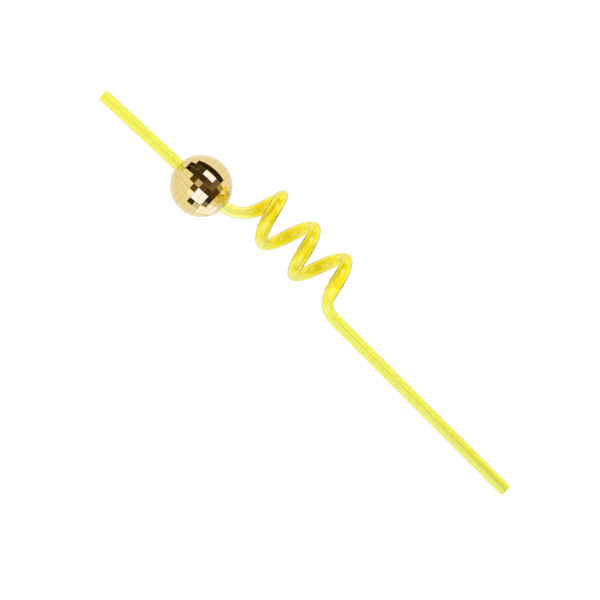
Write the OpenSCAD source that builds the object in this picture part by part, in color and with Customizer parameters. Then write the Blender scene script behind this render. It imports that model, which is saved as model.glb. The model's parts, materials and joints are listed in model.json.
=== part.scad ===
// A hard plastic drinking straw with a swirl, and a mirrored ball threaded on its mouth stem.
// Lengths are in millimetres. The straw lies as it comes to rest on a table: on its ball, on
// the last low turn of the swirl and on the rim of its lower end. The lower stem points to +X,
// the swirl stands out to +Y, and the origin is under the middle of the straw, on the table.

/* [Tube] */
// Outer diameter of the tube
tube_d = 6; // [5.6:0.1:6.6]
// Thickness of the tube's wall
tube_wall = 1; // [0.7:0.05:1.2]
// Rounding of the two open ends, inside and outside
lip_round = 0.4; // [0.1:0.05:0.45]

/* [Stems] */
// Length of the mouth stem, from the middle of the ball to the mouth end
mouth_len = 64; // [45:1:110]
// Length of the lower stem, from the middle of the ball to the lower end
lower_len = 206; // [170:1:250]
// Angle between the mouth stem and the lower stem
stem_angle = 2.1; // [0:0.1:5]

/* [Swirl] */
// Number of half turns
half_turns = 5; // [3:2:7]
// Distance from one half turn to the next
half_pitch = 10.65; // [9:0.05:13]
// Radius of the swirl, to the middle of the tube
swirl_r = 10.9; // [9.5:0.1:12]
// Distance from the line of the stems to the axis of the swirl
swirl_offset = 13.2; // [12:0.1:15]
// Gap from the ball to the start of the swirl
swirl_gap = 9.4; // [8.5:0.1:14]
// How far the first two half turns are squeezed together
swirl_pinch = 3; // [0:0.1:4]
// Lean of the turns towards the lower end
swirl_lean = 4; // [0:0.5:8]
// Share by which the bent tube is flatter than it is round, and as much wider across the bend
swirl_flatten = 0.1; // [0:0.01:0.15]

/* [Ball] */
// Diameter over the tiles
ball_d = 30; // [27:0.5:33]
// Number of tiles in a ring
tile_columns = 30; // [24:6:36]
// Number of rings of tiles on each half
tile_rows = 6; // [4:1:8]
// Angle from the ball's axis to the edge of the plain collar
collar_angle = 18; // [16:1:24]
// Width of the V-shaped groove between two tiles
groove_w = 0.3; // [0.2:0.02:0.5]
// Depth of the groove
groove_depth = 0.2; // [0.1:0.01:0.35]
// Wall from the hollow to the tips of the tiles
shell_wall = 1.5; // [1.3:0.1:1.8]
// Length of the sleeve inside the ball that grips the stem, from the collar
boss_len = 9; // [5:0.5:11]

/* [Hidden] */
$fn = 96;

// Tube
tube_r = tube_d / 2;
bore_r = tube_r - tube_wall;
lip = min(lip_round, 0.45 * tube_wall);
lip_step = 15;
// Sides of the swept stretch's section, which lies this far inside the round walls
sweep_sides = 18;
sweep_inset = 0.05;
// The swept stretch runs this far into each stem, and as far again before it bends
stem_join = 0.6;

// Ball
ball_r = ball_d / 2;
cavity_r = ball_r - shell_wall;
column_step = 360 / tile_columns;
row_step = (90 - collar_angle) / tile_rows;
groove_angle = groove_w / 2 / ball_r * 180 / PI;
groove_r = ball_r - groove_depth;
collar_z = groove_r * cos(collar_angle);
// Wall round the stem, where the ball grips it, and the gap left there
boss_wall = 1.6;
boss_r = tube_r + boss_wall;
stem_clearance = 0.05;
// Thickness round the hole on the swirl's side, and the gap left for the bend
plug_wall = 2;
bend_clearance = 0.35;
// Lap joint at the equator: a ring on one half, partly inside the wall, sits in a step of the other
lap_len = 1.2;
lap_in_wall = 0.5;
lap_in_hollow = 0.4;
lap_clearance = 0.05;
lap_r = cavity_r + lap_in_wall;

// Route of the tube, from the middle of the ball. The bend starts this far inside the ball.
bend_inset = 4;
bend_start = ball_r - bend_inset;
swirl_start = ball_r + swirl_gap;
lead_out = 15.3;
lower_start = swirl_start + half_pitch * half_turns + lead_out + stem_join;
// Handles of the two curves that lead into the swirl and out of it
handle_in = [7.5, 9];
handle_out = [11, 10];
lead_steps = 9;
// The squeeze of the first turns fades out over so many half turns
pinch_span = 2.4;
steps_per_half_turn = 12;
small_h = 0.001;

// Rest: the ball's lowest tile edge and the rim of the lower end are on the table
seat_h = ball_r * cos(column_step / 2 - groove_angle);
rim_x = lower_len - lip;
rim_r = tube_r - lip;
pitch = asin((seat_h - lip) / norm([rim_x, rim_r])) - atan(rim_r / rim_x);
// Half the height of the flattened tube
flat_r = (tube_r - sweep_inset) * (1 - swirl_flatten);
// Last half turn that lies low, and the height of the swirl's axis that sets it on the table
low_turn = half_turns - 1;
low_x = swirl_start + half_pitch * low_turn;
swirl_lift = swirl_r + (flat_r - seat_h + low_x * sin(pitch)) / cos(pitch);

// Extents at rest, which set the origin under the middle
mouth_run = cos(stem_angle) * cos(pitch);
x_min = -(mouth_len - lip) * mouth_run - rim_r * sqrt(1 - mouth_run * mouth_run) - lip;
x_max = rim_x * cos(pitch) + rim_r * sin(pitch) + lip;
y_min = -ball_r;
y_max = swirl_offset + swirl_r + flat_r;

function unit(v) = v / norm(v);

function bezier(p, t) =
    pow(1 - t, 3) * p[0] + 3 * pow(1 - t, 2) * t * p[1] + 3 * (1 - t) * t * t * p[2] + pow(t, 3) * p[3];

// Point of the swirl after h half turns: low at whole even numbers, high at odd ones
function pinch_at(h) = swirl_pinch * cos(180 * h) * pow(max(0, 1 - pow(h / pinch_span, 2)), 2);
function swirl_at(h) = [
    swirl_start + half_pitch * h + pinch_at(h) + tan(swirl_lean) * swirl_r * sin(180 * h),
    swirl_offset + swirl_r * sin(180 * h),
    swirl_lift - swirl_r * cos(180 * h)
];
function swirl_dir(h) = unit(swirl_at(h + small_h) - swirl_at(h - small_h));

mouth_dir = [cos(stem_angle), sin(stem_angle), 0];
lower_dir = [1, 0, 0];
curve_in = [
    mouth_dir * (bend_start + stem_join),
    mouth_dir * (bend_start + stem_join + handle_in[0]),
    swirl_at(0) - swirl_dir(0) * handle_in[1],
    swirl_at(0)
];
curve_out = [
    swirl_at(half_turns),
    swirl_at(half_turns) + swirl_dir(half_turns) * handle_out[0],
    lower_dir * (lower_start - stem_join - handle_out[1]),
    lower_dir * (lower_start - stem_join)
];

route = concat(
    [mouth_dir * (bend_start - stem_join)],
    [for (i = [0 : lead_steps - 1]) bezier(curve_in, i / lead_steps)],
    [for (i = [0 : half_turns * steps_per_half_turn]) swirl_at(i / steps_per_half_turn)],
    [for (i = [1 : lead_steps]) bezier(curve_out, i / lead_steps)],
    [lower_dir * (lower_start + stem_join)]
);
last_ring = len(route) - 1;
route_dirs = [
    for (i = [0 : last_ring])
        i == 0 ? mouth_dir : i == last_ring ? lower_dir : unit(route[i + 1] - route[i - 1])
];
// A direction across the tube at each ring, carried along without twist
route_sides = [
    for (i = 0, side = [0, 0, 1]; i <= last_ring; i = i + 1, side = i > last_ring ? side :
        unit(side - (side * route_dirs[i]) * route_dirs[i])) side
];

// How sharply the route bends at each ring, towards the centre of the bend
route_bends = [
    for (i = [0 : last_ring])
        i < 2 || i > last_ring - 2 ? [0, 0, 0] :
        (route_dirs[i + 1] - route_dirs[i - 1]) / norm(route[i + 1] - route[i - 1])
];

// A radius of the tube as the bend flattens it
function flattened(v, bend) =
    let (share = swirl_flatten * min(1, swirl_r * norm(bend)))
    share == 0 ? v : v * (1 + share) - 2 * share * (v * bend) / (bend * bend) * bend;

// The section's corners lie half a side away from the direction carried along
function ring(i, r) = [
    for (s = [0 : sweep_sides - 1])
        let (a = 360 * (s + 0.5) / sweep_sides)
        route[i] + r * flattened(
            cos(a) * route_sides[i] + sin(a) * cross(route_dirs[i], route_sides[i]), route_bends[i]
        )
];

// The bent stretch: one open-ended tube swept along the route
module swept_stretch() {
    outer_r = tube_r - sweep_inset;
    inner_r = (bore_r + sweep_inset) / cos(180 / sweep_sides);
    inner_0 = (last_ring + 1) * sweep_sides;
    walls = [
        for (i = [0 : last_ring - 1])
            for (s = [0 : sweep_sides - 1])
                let (
                    a = i * sweep_sides + s,
                    b = i * sweep_sides + (s + 1) % sweep_sides,
                    c = b + sweep_sides,
                    d = a + sweep_sides
                )
                each [
                    [a, d, c], [a, c, b],
                    [inner_0 + a, inner_0 + c, inner_0 + d], [inner_0 + a, inner_0 + b, inner_0 + c]
                ]
    ];
    end_0 = last_ring * sweep_sides;
    ends = [
        for (s = [0 : sweep_sides - 1])
            let (n = (s + 1) % sweep_sides)
            each [
                [s, n, inner_0 + n, inner_0 + s],
                [end_0 + n, end_0 + s, inner_0 + end_0 + s, inner_0 + end_0 + n]
            ]
    ];
    polyhedron(
        points = concat(
            [for (i = [0 : last_ring]) each ring(i, outer_r)],
            [for (i = [0 : last_ring]) each ring(i, inner_r)]
        ),
        faces = concat(walls, ends),
        convexity = 10
    );
}

// A straight stem along +Z, with a rounded lip at its far end
module stem(length) {
    rotate_extrude()
        polygon(concat(
            [[bore_r, 0], [tube_r, 0]],
            [for (a = [0 : lip_step : 90]) [tube_r - lip + lip * cos(a), length - lip + lip * sin(a)]],
            [for (a = [90 : lip_step : 180]) [bore_r + lip + lip * cos(a), length - lip + lip * sin(a)]]
        ));
}

// Point of the ball at a distance r, with its axis along +Z
function ball_at(r, lat, lon) = r * [cos(lat) * cos(lon), cos(lat) * sin(lon), sin(lat)];

// Corners of a tile's raised face, from its lower row upwards
function tile_corner(lat, lon, side) =
    ball_at(ball_r, lat, lon + side * (column_step / 2 - groove_angle / cos(lat)));

// Half of the ball, still solid: flat tiles between V-shaped grooves, and a flat collar on top
module tiled_dome() {
    tile_0 = (tile_rows + 1) * tile_columns;
    groove_points = [
        for (i = [0 : tile_rows])
            for (j = [0 : tile_columns - 1])
                ball_at(groove_r, i * row_step, (j - 0.5) * column_step)
    ];
    tile_points = [
        for (i = [0 : tile_rows - 1])
            for (j = [0 : tile_columns - 1])
                let (low = i * row_step + groove_angle, high = (i + 1) * row_step - groove_angle)
                each [
                    tile_corner(low, j * column_step, -1), tile_corner(low, j * column_step, 1),
                    tile_corner(high, j * column_step, 1), tile_corner(high, j * column_step, -1)
                ]
    ];
    tile_faces = [
        for (i = [0 : tile_rows - 1])
            for (j = [0 : tile_columns - 1])
                let (
                    next = (j + 1) % tile_columns,
                    g = [
                        i * tile_columns + j, i * tile_columns + next,
                        (i + 1) * tile_columns + next, (i + 1) * tile_columns + j
                    ],
                    t = [for (k = [0 : 3]) tile_0 + 4 * (i * tile_columns + j) + k]
                )
                each concat(
                    [[t[3], t[2], t[1], t[0]]],
                    [for (k = [0 : 3]) [g[k], t[k], t[(k + 1) % 4]]],
                    [for (k = [0 : 3]) [g[k], t[(k + 1) % 4], g[(k + 1) % 4]]]
                )
    ];
    equator = [for (j = [0 : tile_columns - 1]) j];
    collar = [for (j = [tile_columns - 1 : -1 : 0]) tile_rows * tile_columns + j];
    polyhedron(
        points = concat(groove_points, tile_points),
        faces = concat(tile_faces, [equator, collar]),
        convexity = 4
    );
}

// The hollow of a half, which leaves a core of radius core_r standing from core_from outwards
module hollow(core_r, core_from) {
    difference() {
        sphere(r = cavity_r);
        translate([0, 0, core_from])
            cylinder(r = core_r, h = ball_r);
    }
}

// Places a ball half modelled along +Z on the mouth stem, facing the swirl or the mouth
module on_mouth_stem(side) {
    rotate([0, 0, stem_angle])
        rotate([0, side * 90, 0])
            children();
}

// Sets the straw down on the table
module at_rest() {
    translate([-(x_min + x_max) / 2, -(y_min + y_max) / 2, seat_h])
        rotate([0, pitch, 0])
            children();
}

module straw_tube() {
    color([0.95, 0.92, 0.3])
        at_rest()
            union() {
                rotate([0, 0, stem_angle])
                    translate([bend_start, 0, 0])
                        rotate([0, -90, 0])
                            stem(mouth_len + bend_start);
                swept_stretch();
                translate([lower_start, 0, 0])
                    rotate([0, 90, 0])
                        stem(lower_len - lower_start);
            }
}

// The half that grips the stem, with the ring of the lap joint
module ball_mouth_half() {
    color([0.9, 0.78, 0.42])
        at_rest()
            on_mouth_stem(-1)
                union() {
                    difference() {
                        tiled_dome();
                        hollow(boss_r, collar_z - boss_len);
                        cylinder(r = tube_r + stem_clearance, h = ball_r);
                    }
                    difference() {
                        cylinder(r = lap_r, h = 2 * lap_len, center = true);
                        cylinder(r = cavity_r - lap_in_hollow, h = 3 * lap_len, center = true);
                    }
                }
}

// The half on the swirl's side, with the step of the lap joint and a hole that follows the bend
module ball_coil_half() {
    exit_t = (collar_z - plug_wall / 2 - curve_in[0][0]) / (3 * handle_in[0]);
    exit_at = bezier(curve_in, exit_t);
    exit_dir = unit(bezier(curve_in, exit_t + small_h) - exit_at);
    color([0.88, 0.74, 0.36])
        at_rest()
            difference() {
                on_mouth_stem(1)
                    difference() {
                        tiled_dome();
                        hollow(boss_r, collar_z - plug_wall);
                        cylinder(
                            r = lap_r + lap_clearance,
                            h = 2 * (lap_len + lap_clearance),
                            center = true
                        );
                    }
                translate(exit_at)
                    rotate([0, acos(exit_dir[2]), atan2(exit_dir[1], exit_dir[0])])
                        cylinder(r = tube_r + bend_clearance, h = 3 * plug_wall, center = true);
            }
}

straw_tube();
ball_mouth_half();
ball_coil_half();
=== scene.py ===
import bpy
import bmesh
import json
import math
import random
from mathutils import Matrix, Vector


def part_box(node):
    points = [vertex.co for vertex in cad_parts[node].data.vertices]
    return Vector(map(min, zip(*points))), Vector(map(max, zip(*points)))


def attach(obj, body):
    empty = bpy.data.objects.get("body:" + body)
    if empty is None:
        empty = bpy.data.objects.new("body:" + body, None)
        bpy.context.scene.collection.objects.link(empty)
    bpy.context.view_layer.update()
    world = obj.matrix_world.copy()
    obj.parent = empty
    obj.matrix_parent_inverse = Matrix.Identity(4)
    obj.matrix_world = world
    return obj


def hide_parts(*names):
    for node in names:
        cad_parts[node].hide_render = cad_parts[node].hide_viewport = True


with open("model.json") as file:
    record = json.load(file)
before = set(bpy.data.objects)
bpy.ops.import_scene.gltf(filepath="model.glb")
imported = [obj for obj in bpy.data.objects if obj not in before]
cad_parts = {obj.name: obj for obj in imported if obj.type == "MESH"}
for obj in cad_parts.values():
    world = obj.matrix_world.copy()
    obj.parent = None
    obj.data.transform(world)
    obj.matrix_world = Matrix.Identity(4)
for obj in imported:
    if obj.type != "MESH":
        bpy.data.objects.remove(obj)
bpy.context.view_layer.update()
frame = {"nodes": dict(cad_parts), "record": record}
print("frame loaded:", sorted(frame["nodes"]))

# The pieces are modelled in millimetres in the straw's own frame, then set down with ownToRow:
# its origin is the middle of the ball, X runs along the lower stem, Y to the side where the swirl
# stands out, and Z up from the table before the straw tips on to its lower end
mm = 0.001  # m
mounts = {m["name"]: m for m in frame["record"]["mounts"]}
ballBoxes = [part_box("ball_mouth_half"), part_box("ball_coil_half")]
ballMiddle = Vector([(min(low[k] for low, high in ballBoxes)
                      + max(high[k] for low, high in ballBoxes)) / 2 for k in range(3)])
lowerAxis = Vector(mounts["lid_pin"]["axis"])
pitch = math.atan2(-lowerAxis.z, lowerAxis.x)
ownToRow = Matrix.Translation(ballMiddle) @ Matrix.Rotation(pitch, 4, "Y") @ Matrix.Scale(mm, 4)
rowToOwn = ownToRow.inverted()
mouthEnd = rowToOwn @ Vector(mounts["mouth_end_bore"]["pos_m"])
lowerEnd = rowToOwn @ Vector(mounts["lower_end_bore"]["pos_m"])
mouthDir, lowerDir = -mouthEnd.normalized(), Vector((1, 0, 0))
stemAngle = math.atan2(mouthDir.y, mouthDir.x)


def linear(hexColour):
    # sRGB hex to the linear colour that the shaders read
    parts = [int(hexColour[k:k + 2], 16) / 255 for k in (1, 3, 5)]
    return [c / 12.92 if c <= 0.04045 else ((c + 0.055) / 1.055) ** 2.4 for c in parts] + [1.0]


def addNode(material, kind, inputs=(), links=(), **settings):
    # one shader node, with its input values, its links from other nodes' sockets and its own settings
    node = material.node_tree.nodes.new(kind)
    for key, value in settings.items():
        setattr(node, key, value)
    for key, value in dict(inputs).items():
        node.inputs[key].default_value = value
    for key, socket in dict(links).items():
        material.node_tree.links.new(socket, node.inputs[key])
    return node


def newMaterial(name):
    material = bpy.data.materials.new(name)
    material.use_nodes = True
    material.node_tree.nodes.clear()
    return material


def finishMaterial(material, surface):
    addNode(material, "ShaderNodeOutputMaterial", links={"Surface": surface.outputs[0]})
    return material


def ringAt(radius, along=0, place=Matrix.Identity(4)):
    # where a circle of radius 1 goes to make one ring of a swept or turned shape
    return place @ Matrix.Translation((0, 0, along)) @ Matrix.Diagonal((radius, radius, 1, 1))


def sweepRings(bm, rings, sides, atRing=None):
    # extrudes a circle through the rings and joins the last to the first; gives the faces of each step
    made = bmesh.ops.create_circle(bm, cap_ends=False, radius=1, segments=sides, matrix=rings[0])
    verts = made["verts"]
    edges = list({edge for vert in verts for edge in vert.link_edges})
    firstEdges = edges
    bands = []
    for k, ring in enumerate(rings):
        if k > 0:
            made = bmesh.ops.extrude_edge_only(bm, edges=edges)["geom"]
            verts = [g for g in made if isinstance(g, bmesh.types.BMVert)]
            edges = [g for g in made if isinstance(g, bmesh.types.BMEdge)
                     and all(v in set(verts) for v in g.verts)]
            bmesh.ops.transform(bm, matrix=ring @ rings[k - 1].inverted(), verts=verts)
            bands.append(list({face for edge in edges for face in edge.link_faces}))
        if atRing:
            atRing(k, ring, verts)
    bmesh.ops.bridge_loops(bm, edges=firstEdges + edges)
    return bands


def finishPiece(bm, name, cadNode, materials):
    # sets the mesh down in the row's frame and lets it stand for its CAD node
    bmesh.ops.transform(bm, matrix=ownToRow, verts=bm.verts)
    bmesh.ops.recalc_face_normals(bm, faces=bm.faces)
    mesh = bpy.data.meshes.new(name)
    bm.to_mesh(mesh)
    bm.free()
    for material in materials:
        mesh.materials.append(material)
    piece = bpy.data.objects.new(name, mesh)
    bpy.context.scene.collection.objects.link(piece)
    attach(piece, "root")
    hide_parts(cadNode)
    return piece


# Straw tube: one extruded tube, heated and wound round a former. Lengths in mm
straw = {
    "lipOutside": 0.9,         # rounding of the two ends, outside and at the bore
    "lipInside": 0.1,
    "endInset": 0.4,           # from the stated end of each bore to the end of the tube
    "bendStart": 11.6,         # where the tube leaves the mouth stem's line, inside the ball
    "swirlStart": 24.7,
    "halfTurns": 5,
    "halfPitch": 10.65,        # along the stems' line, for half a turn
    "swirlRadius": 11.2,       # to the middle of the tube
    "swirlOffset": 12.58,      # from the stems' line to the swirl's axis
    "squeeze": 3.0,            # how far the first half turns are pushed together
    "squeezeSpan": 2.4,        # and over how many half turns that fades
    "lean": 4,                 # of the turns towards the lower end, degrees
    "leadOut": 15,             # from the last half turn to the lower stem
    "handleIn": (7.5, 9),      # handles of the curve into the swirl
    "handleOut": (11, 10),     # and of the curve out of it
    "flattenLow": 0.08,        # share by which the tube is flatter at the foot of a turn
    "flattenHigh": 0.2,        # and at its top
    "slimmer": 0.05,           # the wound stretch is drawn this much thinner
    "settle": 5,               # length over which a bend's section and the tints come in
    "thinFrom": 10,            # from here into the swirl the tube's tint is painted paler: painted light on the lead near the ball
    "tintBefore": 2,           # the heated tint begins this far before the swirl
    "tintAfter": 6,            # and ends this far past it
    "shadeFocus": 12,            # how closely the painted shade keeps to the foot of a turn, where the tube lies on the table
    "sides": 48,
    "ringsPerHalfTurn": 36,
    "ringsPerLead": 26,
    "stemStep": 6,             # length of tube between two rings of a straight stem
    "lipSteps": 6,
}
tubeRadius = mounts["lid_pin"]["dims"]["r_mm"]
boreRadius = mounts["mouth_end_bore"]["dims"]["r_mm"]
swirlEnd = straw["swirlStart"] + straw["halfPitch"] * straw["halfTurns"]
lowerStart = swirlEnd + straw["leadOut"]
lastLow = swirlEnd - straw["halfPitch"]  # where the last turn comes nearest to the table
underTube = tubeRadius - straw["slimmer"]
swirlLift = (straw["swirlRadius"]
             + (underTube - ballMiddle.z / mm + lastLow * math.sin(pitch)) / math.cos(pitch))


def swirlPoint(h):
    # a point of the swirl after h half turns
    fade = max(0, 1 - (h / straw["squeezeSpan"]) ** 2) ** 2
    across = straw["swirlRadius"] * math.sin(math.pi * h)
    along = straw["halfPitch"] * h + straw["squeeze"] * math.cos(math.pi * h) * fade
    return Vector((straw["swirlStart"] + along + math.tan(math.radians(straw["lean"])) * across,
                   straw["swirlOffset"] + across,
                   swirlLift - straw["swirlRadius"] * math.cos(math.pi * h)))


def swirlDir(h, step=0.001):
    return (swirlPoint(h + step) - swirlPoint(h - step)).normalized()


def curvePoint(handles, t):
    a, b, c, d = handles
    return (1 - t) ** 3 * a + 3 * (1 - t) ** 2 * t * b + 3 * (1 - t) * t * t * c + t ** 3 * d


def strawRoute():
    # the middle of the tube from the mouth end to the lower end
    turns = straw["halfTurns"]
    bendIn, bendOut = mouthDir * straw["bendStart"], lowerDir * lowerStart
    curveIn = (bendIn, bendIn + mouthDir * straw["handleIn"][0],
               swirlPoint(0) - swirlDir(0) * straw["handleIn"][1], swirlPoint(0))
    curveOut = (swirlPoint(turns), swirlPoint(turns) + swirlDir(turns) * straw["handleOut"][0],
                bendOut - lowerDir * straw["handleOut"][1], bendOut)
    leads, perTurn = straw["ringsPerLead"], straw["ringsPerHalfTurn"]
    inset = straw["lipOutside"] - straw["endInset"]
    first, last = mouthEnd + mouthDir * inset, lowerEnd - lowerDir * inset
    mouthSteps = round((bendIn - first).length / straw["stemStep"])
    lowerSteps = round((last - bendOut).length / straw["stemStep"])
    points = [first.lerp(bendIn, k / mouthSteps) for k in range(mouthSteps)]
    points += [curvePoint(curveIn, k / leads) for k in range(leads)]
    points += [swirlPoint(k / perTurn) for k in range(turns * perTurn)]
    points += [curvePoint(curveOut, k / leads) for k in range(leads)]
    points += [bendOut.lerp(last, k / lowerSteps) for k in range(lowerSteps + 1)]
    return points


def eased(share):
    # from 0 to 1, level at both ends
    share = max(0, min(1, share))
    return share ** 2 * (3 - 2 * share)


def strawRings():
    # the frame of each ring along the tube, with the section as its bend flattens it, and its tints
    def between(x, start, end):
        # 1 from start to end and 0 outside them, eased at both
        return eased(min(x - start, end - x) / straw["settle"])

    points = strawRoute()
    last = len(points) - 1
    dirs = [(points[min(k + 1, last)] - points[max(k - 1, 0)]).normalized() for k in range(last + 1)]
    dirs[0], dirs[last] = mouthDir, lowerDir
    side = Vector((0, 0, 1))
    rings, run = [], 0
    for k in range(last + 1):
        side = (side - side.dot(dirs[k]) * dirs[k]).normalized()
        other = dirs[k].cross(side)
        ease = between(points[k].x, straw["bendStart"], lowerStart)
        # painted light: the tint is paler on the lead near the ball
        leadLight = between(points[k].x, straw["thinFrom"], straw["swirlStart"] + straw["settle"])
        wound = between(points[k].x, straw["swirlStart"] - straw["tintBefore"],
                        swirlEnd + straw["tintAfter"])
        bend = Vector()
        if 0 < k < last:
            bend = (dirs[k + 1] - dirs[k - 1]) / (points[k + 1] - points[k - 1]).length
        # from -1 at the foot of a turn to 1 at its top
        level = (points[k].z - swirlLift) / straw["swirlRadius"]
        share = straw["flattenHigh"] if level > 0 else straw["flattenLow"]
        share *= level ** 2 * ease * min(1, straw["swirlRadius"] * bend.length)
        inward = bend.normalized()
        section = [v * (1 + share) - 2 * share * v.dot(inward) * inward for v in (side, other)]
        columns = [section[0], section[1], dirs[k], points[k]]
        place = Matrix([[column[row] for column in columns] for row in range(3)] + [[0, 0, 0, 1]])
        run += (points[k] - points[max(k - 1, 0)]).length
        # painted shade: a deeper tint at the foot of each turn, where the tube lies on the table
        deepShade = wound * (0.5 - level / 2) ** straw["shadeFocus"]
        rings.append({"place": place, "radius": tubeRadius - straw["slimmer"] * ease, "run": run,
                      "leadLight": leadLight, "wound": wound, "deepShade": deepShade})
    return rings


def makeStrawTube(materials):
    stretch = strawRings()
    outside, inside, wall = straw["lipOutside"], straw["lipInside"], tubeRadius - boreRadius
    arc = [math.pi / 2 * k / straw["lipSteps"] for k in range(straw["lipSteps"] + 1)]
    outerLip = [(tubeRadius - outside * (1 - math.cos(a)), outside * math.sin(a)) for a in arc[1:]]
    innerLip = [(boreRadius + inside * (1 - math.cos(a)), outside - inside * (1 - math.sin(a)))
                for a in reversed(arc[:-1])]
    first, last = stretch[0], stretch[-1]
    lip = outerLip + innerLip
    rings = [(ringAt(r["radius"], 0, r["place"]), r["run"], r) for r in stretch]
    rings += [(ringAt(radius, out, last["place"]), last["run"] + out, last) for radius, out in lip]
    rings += [(ringAt(r["radius"] - wall, 0, r["place"]), r["run"], r) for r in reversed(stretch[:-1])]
    rings += [(ringAt(radius, -out, first["place"]), -out, first) for radius, out in reversed(lip)]
    bm = bmesh.new()
    unrolled = bm.verts.layers.float_vector.new("alongTube")  # the same point on a straight tube, m
    tints = {key: bm.verts.layers.float.new(key) for key in ("leadLight", "wound", "deepShade")}

    def keepPlaceAndTints(k, ring, verts):
        back = ring.inverted()
        radius = ring.col[0].to_3d().length
        for vert in verts:
            flat = back @ vert.co
            vert[unrolled] = Vector((flat.x * radius, flat.y * radius, rings[k][1])) * mm
            for key, layer in tints.items():
                vert[layer] = rings[k][2][key]

    bands = sweepRings(bm, [ring[0] for ring in rings], straw["sides"], keepPlaceAndTints)
    for face in bm.faces:
        face.smooth = True
    firstInside = len(stretch) + len(lip) - 1
    for face in [face for band in bands[firstInside:firstInside + len(stretch)] for face in band]:
        face.material_index = 1  # the bore
    return finishPiece(bm, "strawTube", "straw_tube", materials)


def tintedPetg(name, drawn, pale, tints):
    # Extruded PETG, tinted yellow in the mass: clear and glossy, with faint lines along the tube from
    # the die, slow changes of tint, a warmer tint where it was heated for winding, a paler tint on the
    # lead near the ball as painted light, and the deepest tint at the foot of each turn as painted
    # shade, where the tube lies on the table
    look = {
        "tintSpacing": 14,     # mm along the tube
        "lineSpacing": 0.9,    # mm round the tube, coarser than the real lines so that they show
        "lineLength": 60,      # mm
        "lineDepth": 0.0012,   # mm
        "haze": 0.16,          # as roughness
        "ior": 1.57,
    }
    material = newMaterial(name)
    place = addNode(material, "ShaderNodeAttribute", attribute_name="alongTube")
    stretch = addNode(material, "ShaderNodeMapping", links={"Vector": place.outputs["Vector"]},
                      inputs={"Scale": [1 / mm / look["tintSpacing"]] * 3})
    tint = addNode(material, "ShaderNodeTexNoise", links={"Vector": stretch.outputs[0]},
                   inputs={"Scale": 1, "Detail": 1})
    colour = addNode(material, "ShaderNodeMix", data_type="RGBA",
                     inputs={6: linear(drawn), 7: linear(pale)}, links={"Factor": tint.outputs["Fac"]})
    for key, tintColour in tints.items():
        share = addNode(material, "ShaderNodeAttribute", attribute_name=key)
        colour = addNode(material, "ShaderNodeMix", data_type="RGBA", inputs={7: linear(tintColour)},
                         links={"Factor": share.outputs["Fac"], 6: colour.outputs[2]})
    around, along = 1 / mm / look["lineSpacing"], 1 / mm / look["lineLength"]
    lengthwise = addNode(material, "ShaderNodeMapping", links={"Vector": place.outputs["Vector"]},
                         inputs={"Scale": (around, around, along)})
    lines = addNode(material, "ShaderNodeTexNoise", links={"Vector": lengthwise.outputs[0]},
                    inputs={"Scale": 1, "Detail": 2})
    bump = addNode(material, "ShaderNodeBump", links={"Height": lines.outputs["Fac"]},
                   inputs={"Strength": 1, "Distance": look["lineDepth"] * mm})
    surface = addNode(material, "ShaderNodeBsdfPrincipled",
                      inputs={"Metallic": 0, "Roughness": look["haze"], "IOR": look["ior"],
                              "Transmission Weight": 1},
                      links={"Base Color": colour.outputs[2], "Normal": bump.outputs[0]})
    return finishMaterial(material, surface)


# A surface shader tints light where it crosses a surface, so the outside carries the tint of the mass
# and the bore is nearly clear: the edge of the tube is then as yellow as its middle
# the paler tint is painted light on the lead near the ball; the deepest is painted shade at the foot of
# each turn
outsideTints = {"leadLight": "#F9F87F", "wound": "#FBED24", "deepShade": "#F8E018"}
boreTints = {"wound": "#FEFDF0"}
strawTube = makeStrawTube([tintedPetg("extrudedTintedPetg", "#EEEC46", "#F0EE5A", outsideTints),
                           tintedPetg("tintedPetgBore", "#FEFEF4", "#FFFFF8", boreTints)])
print("straw tube:", len(strawTube.data.polygons), "faces")

# Ball: two moulded halves, metallised, with flat square tiles between V grooves. Lengths in mm
ball = {
    "radius": 15,
    "columns": 30,
    "rows": 6,                 # on each half
    "collarAngle": 18,         # from the ball's axis to the plain collar, degrees
    "grooveWidth": 0.07,
    "grooveDepth": 0.035,
    "tileEdge": 0.012,         # bevel of a tile's edges
    "tileTilt": 0.25,          # degrees that a tile may lean, as moulded
    "wall": 1.5,
    "sleeveLength": 9,         # grips the mouth stem
    "sleeveWall": 1.6,
    "sleeveGap": 0.05,
    "plugWall": 2,             # round the hole on the swirl's side
    "plugGap": 0.35,
    "holeEdge": 0.2,
    "lapLength": 1.2,          # ring of the lap joint
    "lapInWall": 0.5,
    "lapInHollow": 0.4,
    "lapGap": 0.05,
    "hollowSteps": 8,
    "seed": 5,
}


def hollowRings(radiusFrom, radiusTo, hollow):
    # rings on the round hollow, from near the ball's axis out towards its equator
    start, end = math.asin(radiusFrom / hollow), math.asin(radiusTo / hollow)
    angles = [start + (end - start) * k / ball["hollowSteps"] for k in range(ball["hollowSteps"] + 1)]
    return [ringAt(hollow * math.sin(a), hollow * math.cos(a)) for a in angles]


def mouthHalfInside(collarZ, hollow):
    # the sleeve round the stem, the hollow and the ring of the lap joint
    bore = tubeRadius + ball["sleeveGap"]
    sleeve = tubeRadius + ball["sleeveWall"]
    edge, lap = ball["holeEdge"], ball["lapLength"]
    sleeveZ = collarZ - ball["sleeveLength"]
    inner, outer = hollow - ball["lapInHollow"], hollow + ball["lapInWall"]
    return ([ringAt(bore + edge, collarZ), ringAt(bore, collarZ - edge),
             ringAt(bore, sleeveZ), ringAt(sleeve, sleeveZ)]
            + hollowRings(sleeve, math.sqrt(hollow ** 2 - lap ** 2), hollow)
            + [ringAt(inner, lap), ringAt(inner, -lap), ringAt(outer, -lap), ringAt(outer, 0)])


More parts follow.
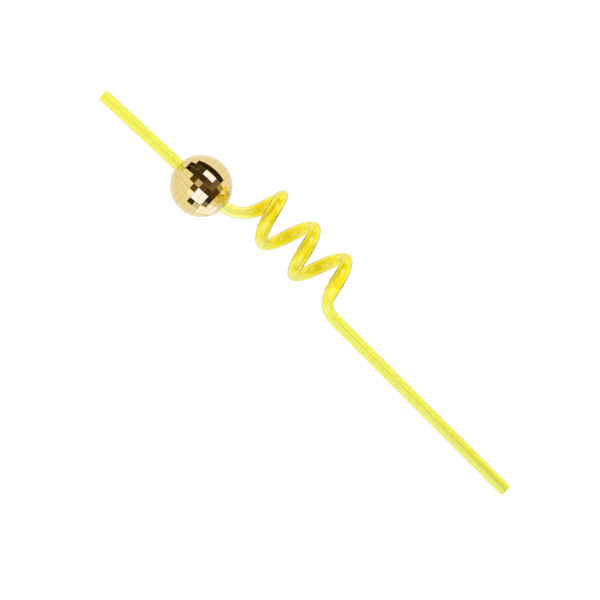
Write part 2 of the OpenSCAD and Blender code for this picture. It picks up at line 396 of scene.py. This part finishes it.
def coilHalfInside(collarZ, hollow):
    # the hole that follows the bend, the hollow and the step of the lap joint
    hole = tubeRadius + ball["plugGap"]
    sleeve = tubeRadius + ball["sleeveWall"]
    edge, lap = ball["holeEdge"], ball["lapLength"] + ball["lapGap"]
    outer = hollow + ball["lapInWall"] + ball["lapGap"]
    toDome = (Matrix.Rotation(stemAngle, 4, "Z") @ Matrix.Rotation(math.pi / 2, 4, "Y")).inverted()
    plugZ = collarZ - ball["plugWall"]
    crossings = []
    for height in (collarZ, collarZ - edge, plugZ):
        middle = min((toDome @ p for p in strawRoute() if p.x < straw["swirlStart"]),
                     key=lambda p: abs(p.z - height))
        crossings.append(Matrix.Translation((middle.x, middle.y, 0)))
    return ([ringAt(hole + edge, collarZ, crossings[0]), ringAt(hole, collarZ - edge, crossings[1]),
             ringAt(hole, plugZ, crossings[2]), ringAt(sleeve, plugZ)]
            + hollowRings(sleeve, math.sqrt(hollow ** 2 - lap ** 2), hollow)
            + [ringAt(outer, lap), ringAt(outer, 0)])


def makeBallHalf(name, cadNode, turn, inside, materials):
    groove = ball["radius"] - ball["grooveDepth"]
    rowStep = math.radians(90 - ball["collarAngle"]) / ball["rows"]
    lats = [k * rowStep for k in range(ball["rows"] + 1)]
    rings = [ringAt(groove * math.cos(lat), groove * math.sin(lat)) for lat in lats]
    collarZ = groove * math.sin(lats[-1])
    rings += inside(collarZ, ball["radius"] - ball["wall"])
    bm = bmesh.new()
    bands = sweepRings(bm, rings, ball["columns"])
    bmesh.ops.recalc_face_normals(bm, faces=bm.faces)
    tiles = [face for band in bands[:ball["rows"]] for face in band]
    tiles.sort(key=lambda f: [round(c, 3) for c in f.calc_center_median()])
    for face in [face for band in bands[ball["rows"] + 1:] for face in band]:
        face.material_index = 2  # the inside
    sides = bmesh.ops.inset_individual(bm, faces=tiles, thickness=ball["grooveWidth"] / 2,
                                       depth=ball["grooveDepth"], use_even_offset=True)["faces"]
    for face in sides:
        face.material_index = 1  # the grooves
    rng = random.Random(ball["seed"])
    for face in tiles:
        middle = face.calc_center_median()
        for vert in face.verts:
            vert.co *= ball["radius"] / vert.co.length
        axis = middle.cross(Vector([rng.uniform(-1, 1) for k in range(3)])).normalized()
        lean = Matrix.Rotation(math.radians(rng.uniform(0, ball["tileTilt"])), 3, axis)
        bmesh.ops.rotate(bm, cent=middle, matrix=lean, verts=face.verts)
        for vert in face.verts:
            vert.co *= min(1, ball["radius"] / vert.co.length)
    edges = list({edge for face in tiles for edge in face.edges})
    bmesh.ops.bevel(bm, geom=edges, offset=ball["tileEdge"], offset_type="OFFSET", segments=1,
                    profile=0.5, affect="EDGES", material=-1)
    place = Matrix.Rotation(stemAngle, 4, "Z") @ Matrix.Rotation(turn, 4, "Y")
    bmesh.ops.transform(bm, matrix=place, verts=bm.verts)
    return finishPiece(bm, name, cadNode, materials)


def metallisedStyrene():
    # Injection-moulded styrene with vapour-deposited aluminium under clear gold lacquer: a mirror, with
    # the lacquer a little thicker and warmer here and there, its own white gloss, which is strongest
    # where the ball turns away, and the slight ripple of a moulded face
    look = {
        "pale": "#F2DD90",
        "warm": "#EACC72",
        "spotSize": 5,         # mm between thick and thin lacquer
        "rippleSize": 1.6,     # mm
        "rippleDepth": 0.002,  # mm
        "haze": (0.02, 0.05),  # as roughness, from spot to spot
        "lacquerIor": 1.5,
        "lacquerHaze": 0.02,
    }
    material = newMaterial("goldMetallisedStyrene")
    place = addNode(material, "ShaderNodeTexCoord")
    spots = addNode(material, "ShaderNodeTexNoise", links={"Vector": place.outputs["Object"]},
                    inputs={"Scale": 1 / mm / look["spotSize"], "Detail": 2})
    colour = addNode(material, "ShaderNodeMix", data_type="RGBA",
                     inputs={6: linear(look["pale"]), 7: linear(look["warm"])},
                     links={"Factor": spots.outputs["Fac"]})
    ripple = addNode(material, "ShaderNodeTexNoise", links={"Vector": place.outputs["Object"]},
                     inputs={"Scale": 1 / mm / look["rippleSize"], "Detail": 1})
    bump = addNode(material, "ShaderNodeBump", links={"Height": ripple.outputs["Fac"]},
                   inputs={"Strength": 1, "Distance": look["rippleDepth"] * mm})
    haze = addNode(material, "ShaderNodeMapRange", links={"Value": spots.outputs["Fac"]},
                   inputs={"To Min": look["haze"][0], "To Max": look["haze"][1]})
    surface = addNode(material, "ShaderNodeBsdfPrincipled",
                      inputs={"Metallic": 1, "Coat Weight": 1, "Coat IOR": look["lacquerIor"],
                              "Coat Roughness": look["lacquerHaze"]},
                      links={"Base Color": colour.outputs[2], "Roughness": haze.outputs[0],
                             "Normal": bump.outputs[0]})
    return finishMaterial(material, surface)


def grooveLacquerAndShade():
    # The same lacquer where it pooled in the grooves: deeper in colour and less bright, and darker
    # still as painted shade in the grooves
    look = {"thin": "#BFA161", "deepShade": "#967A42", "poolSize": 3, "haze": 0.2}  # poolSize in mm
    material = newMaterial("goldLacquerAndPaintedShadeInGrooves")
    place = addNode(material, "ShaderNodeTexCoord")
    pools = addNode(material, "ShaderNodeTexNoise", links={"Vector": place.outputs["Object"]},
                    inputs={"Scale": 1 / mm / look["poolSize"], "Detail": 2})
    colour = addNode(material, "ShaderNodeMix", data_type="RGBA",
                     inputs={6: linear(look["thin"]), 7: linear(look["deepShade"])},
                     links={"Factor": pools.outputs["Fac"]})
    surface = addNode(material, "ShaderNodeBsdfPrincipled", links={"Base Color": colour.outputs[2]},
                      inputs={"Metallic": 1, "Roughness": look["haze"]})
    return finishMaterial(material, surface)


def bareStyrene():
    # Injection-moulded styrene inside the halves, where the metal doesn't reach: ivory, with the soft
    # gloss of the mould
    look = {"ivory": "#EFE6C8", "haze": 0.35, "ior": 1.59}
    material = newMaterial("bareIvoryStyrene")
    surface = addNode(material, "ShaderNodeBsdfPrincipled",
                      inputs={"Metallic": 0, "Base Color": linear(look["ivory"]),
                              "Roughness": look["haze"], "IOR": look["ior"]})
    return finishMaterial(material, surface)


finishes = [metallisedStyrene(), grooveLacquerAndShade(), bareStyrene()]
mouthHalf = makeBallHalf("ballMouthHalf", "ball_mouth_half", -math.pi / 2, mouthHalfInside, finishes)
coilHalf = makeBallHalf("ballCoilHalf", "ball_coil_half", math.pi / 2, coilHalfInside, finishes)
print("ball halves:", len(mouthHalf.data.polygons), "and", len(coilHalf.data.polygons), "faces")

# Camera: nearly straight down on the straw as it lay for the photograph, which shows it on the diagonal
view = {
    "middle": (71.75, -5.2, 0),   # mm, own frame
    "distance": 1500,             # mm
    "lean": 1.5,                  # degrees towards the mouth end
    "field": 286.5,               # mm across the picture
    "turn": 45,                   # degrees, so that the straw runs down to the right
    "sensor": 36,                 # mm
}
fromMiddle = Matrix.Translation(view["middle"]) @ Matrix.Rotation(-math.radians(view["lean"]), 4, "Y")
cameraEye = fromMiddle @ Vector((0, 0, view["distance"]))


def makeCamera():
    data = bpy.data.cameras.new("camera")
    data.sensor_width = view["sensor"]
    data.lens = view["sensor"] * view["distance"] / view["field"]
    camera = bpy.data.objects.new("camera", data)
    bpy.context.scene.collection.objects.link(camera)
    back = Matrix.Translation((0, 0, view["distance"]))
    turn = Matrix.Rotation(math.radians(view["turn"]), 4, "Z")
    camera.matrix_world = ownToRow @ fromMiddle @ back @ turn @ Matrix.Scale(1 / mm, 4)
    bpy.context.scene.camera = camera


makeCamera()
print("camera set")

# Studio: a white table under an even white sky, a soft lamp above, and glowing cards that paint the
# reflections in the ball
studio = {
    "tableSize": 4,            # m
    # the table's colour and its own glow, as each kind of ray sees them
    "tableLooks": {
        "light": ("#E7E7E7", 0),
        "Is Glossy Ray": ("#959595", 0.6),
        "Is Transmission Ray": ("#959595", 0.83),
        "Is Camera Ray": ("#8C8C8C", 0.8),  # white to the eye, with a light shadow
    },
    "lampPower": 6,            # W
    "lampSize": 0.8,           # m
    "lampPlace": (0.4, 0.4, 1.2),  # m
    "cardDistance": 600,       # mm from the ball
    "cardLift": 0.5,           # mm above the table, for the cards that lie on it
    "cardSteps": 8,
    "bounces": 24,             # enough for light inside the clear wall, or the tube's outline is black
}


def paintedTable():
    # Matt white board
    material = newMaterial("mattWhiteBoard")
    path = addNode(material, "ShaderNodeLightPath")
    surface = None
    for ray, (colour, strength) in studio["tableLooks"].items():
        matt = addNode(material, "ShaderNodeBsdfDiffuse", inputs={"Color": linear(colour)})
        glow = addNode(material, "ShaderNodeEmission", inputs={"Strength": strength})
        look = addNode(material, "ShaderNodeAddShader", links={0: matt.outputs[0], 1: glow.outputs[0]})
        if surface:
            look = addNode(material, "ShaderNodeMixShader",
                           links={"Fac": path.outputs[ray], 1: surface.outputs[0], 2: look.outputs[0]})
        surface = look
    return finishMaterial(material, surface)


def makeTable():
    bm = bmesh.new()
    bmesh.ops.create_grid(bm, x_segments=1, y_segments=1, size=studio["tableSize"] / 2)
    mesh = bpy.data.meshes.new("table")
    bm.to_mesh(mesh)
    bm.free()
    mesh.materials.append(paintedTable())
    table = bpy.data.objects.new("table", mesh)
    bpy.context.scene.collection.objects.link(table)


def makeSky():
    world = bpy.data.worlds.new("whiteSky")
    bpy.context.scene.world = world
    world.use_nodes = True
    world.node_tree.nodes.clear()
    glow = addNode(world, "ShaderNodeBackground", inputs={"Color": linear("#FFFFFF"), "Strength": 1})
    addNode(world, "ShaderNodeOutputWorld", links={"Surface": glow.outputs[0]})


def makeLamp():
    data = bpy.data.lights.new("softLamp", "AREA")
    data.shape, data.size, data.energy = "DISK", studio["lampSize"], studio["lampPower"]
    lamp = bpy.data.objects.new("softLamp", data)
    bpy.context.scene.collection.objects.link(lamp)
    lamp.location = studio["lampPlace"]
    lamp.rotation_euler = Vector(studio["lampPlace"]).to_track_quat("Z", "Y").to_euler()
    lamp.visible_glossy = lamp.visible_transmission = False


# Each card is a glowing sheet that paints a reflection in the ball and the tube, named for what it
# stands in for. It is placed by the tiles that mirror it to the camera: degrees from the ball's equator
# towards the swirl, then degrees round the ball from its top towards the swirl's side. Its glow is 1
# unless it says more, and one that lies is folded on to the table where it would reach below it, as a
# painted patch of light or shade on the table that only reflections see
cards = {
    "darkRoom": {"along": (-36, 24), "around": (30, 42), "colour": "#36241A"},
    # painted shade: a dark patch lying on the table, seen only in reflections
    "darkCorner": {"along": (-48, -36), "around": (6, 30), "colour": "#2C1A0F", "lies": True},
    "curtain": {"along": (-36, -12), "around": (6, 30), "colour": "#433926"},
    "curtainEdge": {"along": (-24, -12), "around": (-6, 6), "colour": "#5E4608"},
    "windowPost": {"along": (-12, 0), "around": (6, 18), "colour": "#48371A"},
    "sideWindow": {"along": (-12, 12), "around": (18, 30), "colour": "#A9AFF4", "glow": 3.1},
    "wall": {"along": (-12, 0), "around": (-6, 6), "colour": "#D1C2BD"},
    "cupboard": {"along": (0, 12), "around": (-6, 18), "colour": "#654B36"},
    "cupboardSide": {"along": (12, 24), "around": (6, 30), "colour": "#7D6858"},
    "cupboardGap": {"along": (12, 24), "around": (-6, 6), "colour": "#463727"},
    "redDoor": {"along": (24, 36), "around": (-6, 18), "colour": "#593917"},
    "doorFrame": {"along": (24, 36), "around": (-18, -6), "colour": "#343331"},
    "doorGlass": {"along": (24, 36), "around": (-30, -18), "colour": "#8F8F94"},
    "shelf": {"along": (24, 36), "around": (18, 30), "colour": "#BBA35B"},
    "warmWall": {"along": (36, 60), "around": (-6, 42), "colour": "#EEE0A6"},
    "wideWindow": {"along": (0, 24), "around": (-30, -6), "colour": "#A9AFF4", "glow": 3.1},
    "windowCorner": {"along": (-12, 0), "around": (-30, -18), "colour": "#D7E5FF", "glow": 1.6},
    "windowSill": {"along": (12, 24), "around": (-42, -30), "colour": "#D8DAF0"},
    "chair": {"along": (-12, 0), "around": (-18, -6), "colour": "#60521A"},
    "lampStand": {"along": (0, 12), "around": (-42, -30), "colour": "#3E370C"},
    # this card and the next: a painted pool of light lying on the table, seen only in reflections
    "skylight": {"along": (24, 36), "around": (-54, -30), "colour": "#CBD1FF", "glow": 1.95,
                 "lies": True},
    "paintedLightPool": {"along": (36, 60), "around": (-54, -18), "colour": "#CBD1FF", "glow": 1.95,
                    "lies": True},
}


def cardPoint(along, around, lies):
    # where the tile at these angles sends the camera's line of sight
    along, around = math.radians(along), math.radians(around)
    facing = Vector((math.sin(along), math.cos(along) * math.sin(around),
                     math.cos(along) * math.cos(around)))
    spot = facing * ball["radius"]
    sight = (spot - cameraEye).normalized()
    away = sight - 2 * sight.dot(facing) * facing
    start, end = ownToRow @ spot, ownToRow @ (spot + away * studio["cardDistance"])
    lift = studio["cardLift"] * mm
    if lies and end.z < lift:
        end = start.lerp(end, (start.z - lift) / (start.z - end.z))
    return end


def makeCard(name, card):
    material = newMaterial(name + "Glow")
    glow = addNode(material, "ShaderNodeEmission",
                   inputs={"Color": linear(card["colour"]), "Strength": card.get("glow", 1)})
    finishMaterial(material, glow)
    bm = bmesh.new()
    steps = studio["cardSteps"]
    bmesh.ops.create_grid(bm, x_segments=steps, y_segments=steps, size=0.5)
    for vert in bm.verts:
        along = card["along"][0] + (card["along"][1] - card["along"][0]) * (vert.co.x + 0.5)
        around = card["around"][0] + (card["around"][1] - card["around"][0]) * (vert.co.y + 0.5)
        vert.co = cardPoint(along, around, card.get("lies", False))
    mesh = bpy.data.meshes.new(name)
    bm.to_mesh(mesh)
    bm.free()
    mesh.materials.append(material)
    stand = bpy.data.objects.new(name, mesh)
    bpy.context.scene.collection.objects.link(stand)
    stand.visible_camera = stand.visible_diffuse = False
    stand.visible_volume_scatter = stand.visible_shadow = False


makeTable()
makeSky()
makeLamp()
lightPaths = bpy.context.scene.cycles
lightPaths.max_bounces = lightPaths.glossy_bounces = lightPaths.transmission_bounces = studio["bounces"]
for cardName, card in cards.items():
    makeCard(cardName, card)
print("studio set:", len(cards), "cards")

bpy.context.scene.view_settings.view_transform = "Standard"
